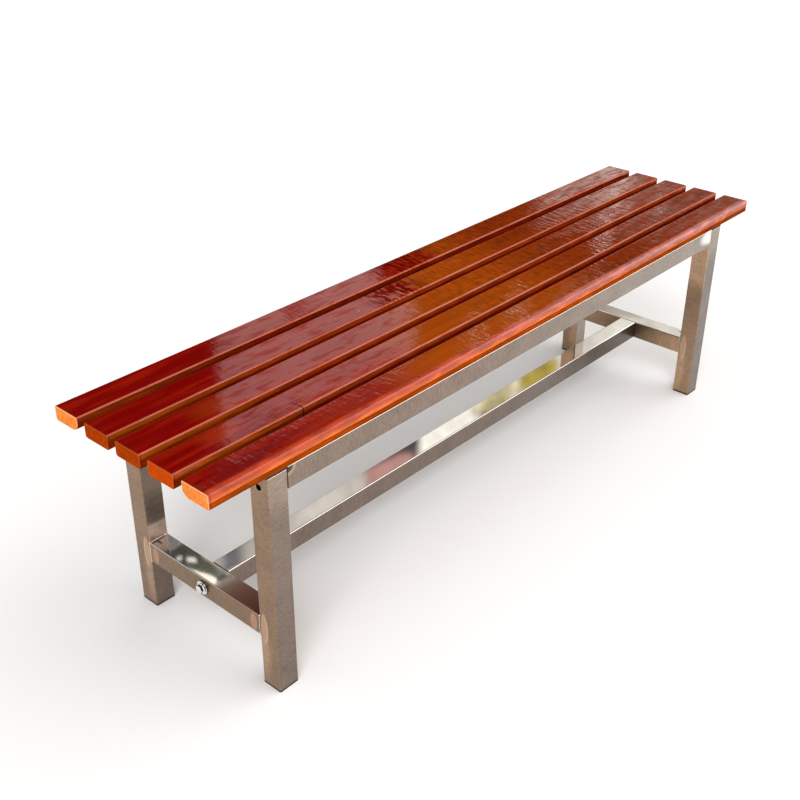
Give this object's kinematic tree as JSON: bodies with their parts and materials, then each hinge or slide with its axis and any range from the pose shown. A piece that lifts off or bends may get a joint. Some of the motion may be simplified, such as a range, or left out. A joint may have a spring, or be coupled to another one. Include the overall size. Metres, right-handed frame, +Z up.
{
  "type": "changing room bench",
  "caption": "Long backless slatted bench: varnished timber slats with a rounded front and back nosing, on a bolted frame of square steel tube with crossbars and a low stretcher.",
  "frame": {"origin": "on the floor under the middle of the bench, at the centre of its footprint and the undersides of the feet", "axes": "+X along the bench to its right end, +Y from the front to the back, +Z up"},
  "size_m": [1.5, 0.35, 0.425],
  "materials": {
    "varnished_wood": "glossy red-brown varnish over fine straight grain, paler orange end grain",
    "stainless_tube": "cross-brushed satin with a warm tint, brown heat marks at the welds",
    "zinc_fastener": "bright zinc plate",
    "mild_steel_plate": "plain mill finish",
    "black_plastic": "matt black moulding"
  },
  "bodies": {
    "root": {"cross_member_left": "stainless_tube", "cross_member_middle": "stainless_tube", "cross_member_right": "stainless_tube", "crossbar_left": "stainless_tube", "crossbar_right": "stainless_tube", "foot_plug_left_back": "black_plastic", "foot_plug_left_front": "black_plastic", "foot_plug_right_back": "black_plastic", "foot_plug_right_front": "black_plastic", "leg_left_back": "stainless_tube", "leg_left_front": "stainless_tube", "leg_right_back": "stainless_tube", "leg_right_front": "stainless_tube", "rail_back": "stainless_tube", "rail_bolt_left_back": "zinc_fastener", "rail_bolt_left_front": "zinc_fastener", "rail_bolt_right_back": "zinc_fastener", "rail_bolt_right_front": "zinc_fastener", "rail_front": "stainless_tube", "rail_nut_plate_left_back": "mild_steel_plate", "rail_nut_plate_left_front": "mild_steel_plate", "rail_nut_plate_right_back": "mild_steel_plate", "rail_nut_plate_right_front": "mild_steel_plate", "slat_1": "varnished_wood", "slat_2": "varnished_wood", "slat_3": "varnished_wood", "slat_4": "varnished_wood", "slat_5": "varnished_wood", "slat_screw_left_1": "zinc_fastener", "slat_screw_left_2": "zinc_fastener", "slat_screw_left_3": "zinc_fastener", "slat_screw_left_4": "zinc_fastener", "slat_screw_left_5": "zinc_fastener", "slat_screw_middle_1": "zinc_fastener", "slat_screw_middle_2": "zinc_fastener", "slat_screw_middle_3": "zinc_fastener", "slat_screw_middle_4": "zinc_fastener", "slat_screw_middle_5": "zinc_fastener", "slat_screw_right_1": "zinc_fastener", "slat_screw_right_2": "zinc_fastener", "slat_screw_right_3": "zinc_fastener", "slat_screw_right_4": "zinc_fastener", "slat_screw_right_5": "zinc_fastener", "stretcher": "stainless_tube", "stretcher_bolt_left": "zinc_fastener", "stretcher_bolt_right": "zinc_fastener", "stretcher_nut_plate_left": "mild_steel_plate", "stretcher_nut_plate_right": "mild_steel_plate", "stretcher_washer_left": "zinc_fastener", "stretcher_washer_right": "zinc_fastener", "top_plug_left_back": "black_plastic", "top_plug_left_front": "black_plastic", "top_plug_right_back": "black_plastic", "top_plug_right_front": "black_plastic"}
  },
  "joints": []
}
